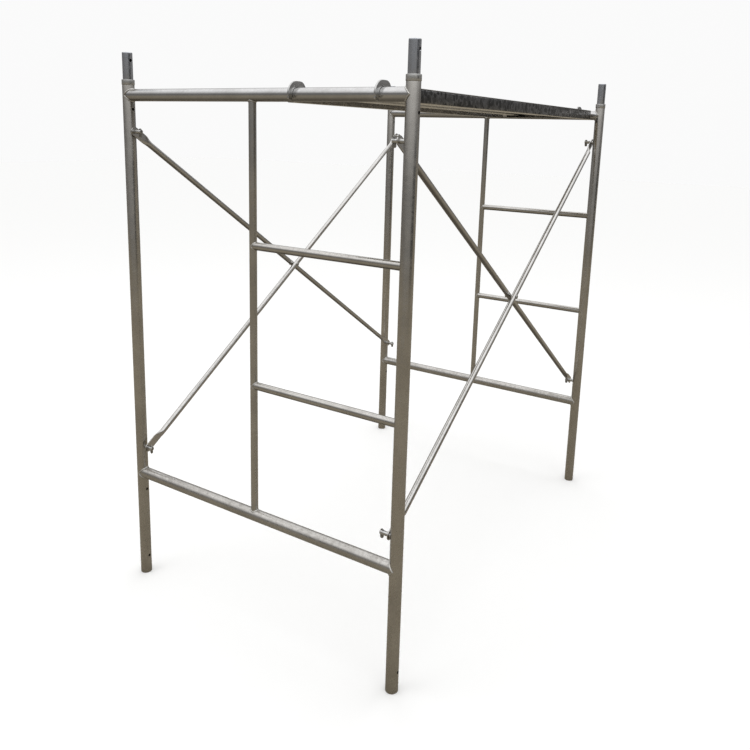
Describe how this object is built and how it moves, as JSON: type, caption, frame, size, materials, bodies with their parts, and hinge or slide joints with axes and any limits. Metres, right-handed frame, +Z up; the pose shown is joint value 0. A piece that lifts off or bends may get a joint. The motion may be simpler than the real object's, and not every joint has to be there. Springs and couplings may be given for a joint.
{
  "type": "frame scaffold section",
  "caption": "Two ladder frames joined by crossed tubular braces on latch studs, with coupling pins in the legs and a hooked perforated catwalk along one side.",
  "frame": {"origin": "on the ground, in the middle of the section", "axes": "+Z up; +X across the frames, towards the side with the rungs and the catwalk; +Y along the bay, from the front frame to the rear one"},
  "size_m": [1.2214, 1.9108, 2.0413],
  "materials": {
    "leg_tube": "hot-dip galvanised tube, mid grey with a satin streak",
    "bar_tube": "galvanised tube, bright on top",
    "ladder_tube": "galvanised tube, satin",
    "brace_tube": "zinc-plated tube, bright satin",
    "stud_steel": "zinc-plated steel",
    "latch_zinc": "zinc-plated pressed steel",
    "pin_steel": "dark bluish drawn steel tube",
    "collar_steel": "galvanised ring",
    "hook_steel": "galvanised plate",
    "deck_steel": "galvanised sheet with a mottled spangle",
    "rail_steel": "dark galvanised sheet with a mottled spangle",
    "stiffener_steel": "galvanised sheet"
  },
  "bodies": {
    "frames": {"front_bottom_bar": "bar_tube", "front_inner_upright": "ladder_tube", "front_left_leg": "leg_tube", "front_left_pivots": "stud_steel", "front_left_studs": "stud_steel", "front_lower_rung": "ladder_tube", "front_right_leg": "leg_tube", "front_right_pivots": "stud_steel", "front_right_studs": "stud_steel", "front_top_bar": "bar_tube", "front_upper_rung": "ladder_tube", "rear_bottom_bar": "bar_tube", "rear_inner_upright": "ladder_tube", "rear_left_leg": "leg_tube", "rear_left_pivots": "stud_steel", "rear_left_studs": "stud_steel", "rear_lower_rung": "ladder_tube", "rear_right_leg": "leg_tube", "rear_right_pivots": "stud_steel", "rear_right_studs": "stud_steel", "rear_top_bar": "bar_tube", "rear_upper_rung": "ladder_tube"},
    "left_braces": {"left_brace_rivet": "stud_steel", "left_first_brace": "brace_tube", "left_second_brace": "brace_tube"},
    "right_braces": {"right_brace_rivet": "stud_steel", "right_first_brace": "brace_tube", "right_second_brace": "brace_tube"},
    "catwalk": {"deck": "deck_steel", "front_end_channel": "rail_steel", "front_left_hook": "hook_steel", "front_right_hook": "hook_steel", "left_rail": "rail_steel", "left_stiffener": "stiffener_steel", "middle_stiffener": "stiffener_steel", "rear_end_channel": "rail_steel", "rear_left_hook": "hook_steel", "rear_right_hook": "hook_steel", "right_rail": "rail_steel", "right_stiffener": "stiffener_steel"},
    "front_left_pin": {"front_left_coupling_pin": "pin_steel", "front_left_collar": "collar_steel"},
    "front_left_lower_latch": {"front_left_lower_latch": "latch_zinc"},
    "front_left_upper_latch": {"front_left_upper_latch": "latch_zinc"},
    "front_right_pin": {"front_right_coupling_pin": "pin_steel", "front_right_collar": "collar_steel"},
    "front_right_lower_latch": {"front_right_lower_latch": "latch_zinc"},
    "front_right_upper_latch": {"front_right_upper_latch": "latch_zinc"},
    "rear_left_pin": {"rear_left_coupling_pin": "pin_steel", "rear_left_collar": "collar_steel"},
    "rear_left_lower_latch": {"rear_left_lower_latch": "latch_zinc"},
    "rear_left_upper_latch": {"rear_left_upper_latch": "latch_zinc"},
    "rear_right_pin": {"rear_right_coupling_pin": "pin_steel", "rear_right_collar": "collar_steel"},
    "rear_right_lower_latch": {"rear_right_lower_latch": "latch_zinc"},
    "rear_right_upper_latch": {"rear_right_upper_latch": "latch_zinc"}
  },
  "joints": [
    {"name": "front_left_pin_lift", "type": "slide", "parent": "frames", "child": "front_left_pin", "axis": [0, 0, 1], "range_m": [0, 0.115]},
    {"name": "front_left_lower_latch_swing", "type": "hinge", "parent": "frames", "child": "front_left_lower_latch", "pos_m": [-0.5328, -0.9145, 0.548], "axis": [0, -1, 0], "range_deg": [0, 90]},
    {"name": "front_left_upper_latch_swing", "type": "hinge", "parent": "frames", "child": "front_left_upper_latch", "pos_m": [-0.5328, -0.9145, 1.767], "axis": [0, -1, 0], "range_deg": [0, 90]},
    {"name": "front_right_pin_lift", "type": "slide", "parent": "frames", "child": "front_right_pin", "axis": [0, 0, 1], "range_m": [0, 0.115]},
    {"name": "front_right_lower_latch_swing", "type": "hinge", "parent": "frames", "child": "front_right_lower_latch", "pos_m": [0.5328, -0.9145, 0.548], "axis": [0, 1, 0], "range_deg": [0, 90]},
    {"name": "front_right_upper_latch_swing", "type": "hinge", "parent": "frames", "child": "front_right_upper_latch", "pos_m": [0.5328, -0.9145, 1.767], "axis": [0, 1, 0], "range_deg": [0, 90]},
    {"name": "rear_left_pin_lift", "type": "slide", "parent": "frames", "child": "rear_left_pin", "axis": [0, 0, 1], "range_m": [0, 0.115]},
    {"name": "rear_left_lower_latch_swing", "type": "hinge", "parent": "frames", "child": "rear_left_lower_latch", "pos_m": [-0.5328, 0.9145, 0.548], "axis": [0, -1, 0], "range_deg": [0, 90]},
    {"name": "rear_left_upper_latch_swing", "type": "hinge", "parent": "frames", "child": "rear_left_upper_latch", "pos_m": [-0.5328, 0.9145, 1.767], "axis": [0, -1, 0], "range_deg": [0, 90]},
    {"name": "rear_right_pin_lift", "type": "slide", "parent": "frames", "child": "rear_right_pin", "axis": [0, 0, 1], "range_m": [0, 0.115]},
    {"name": "rear_right_lower_latch_swing", "type": "hinge", "parent": "frames", "child": "rear_right_lower_latch", "pos_m": [0.5328, 0.9145, 0.548], "axis": [0, 1, 0], "range_deg": [0, 90]},
    {"name": "rear_right_upper_latch_swing", "type": "hinge", "parent": "frames", "child": "rear_right_upper_latch", "pos_m": [0.5328, 0.9145, 1.767], "axis": [0, 1, 0], "range_deg": [0, 90]},
    {"name": "catwalk_lift", "type": "slide", "parent": "frames", "child": "catwalk", "axis": [0, 0, 1], "range_m": [0, 0.06]},
    {"name": "left_braces_play", "type": "slide", "parent": "frames", "child": "left_braces", "axis": [1, 0, 0], "range_m": [-0.0025, 0.0025]},
    {"name": "right_braces_play", "type": "slide", "parent": "frames", "child": "right_braces", "axis": [1, 0, 0], "range_m": [-0.0025, 0.0025]}
  ]
}
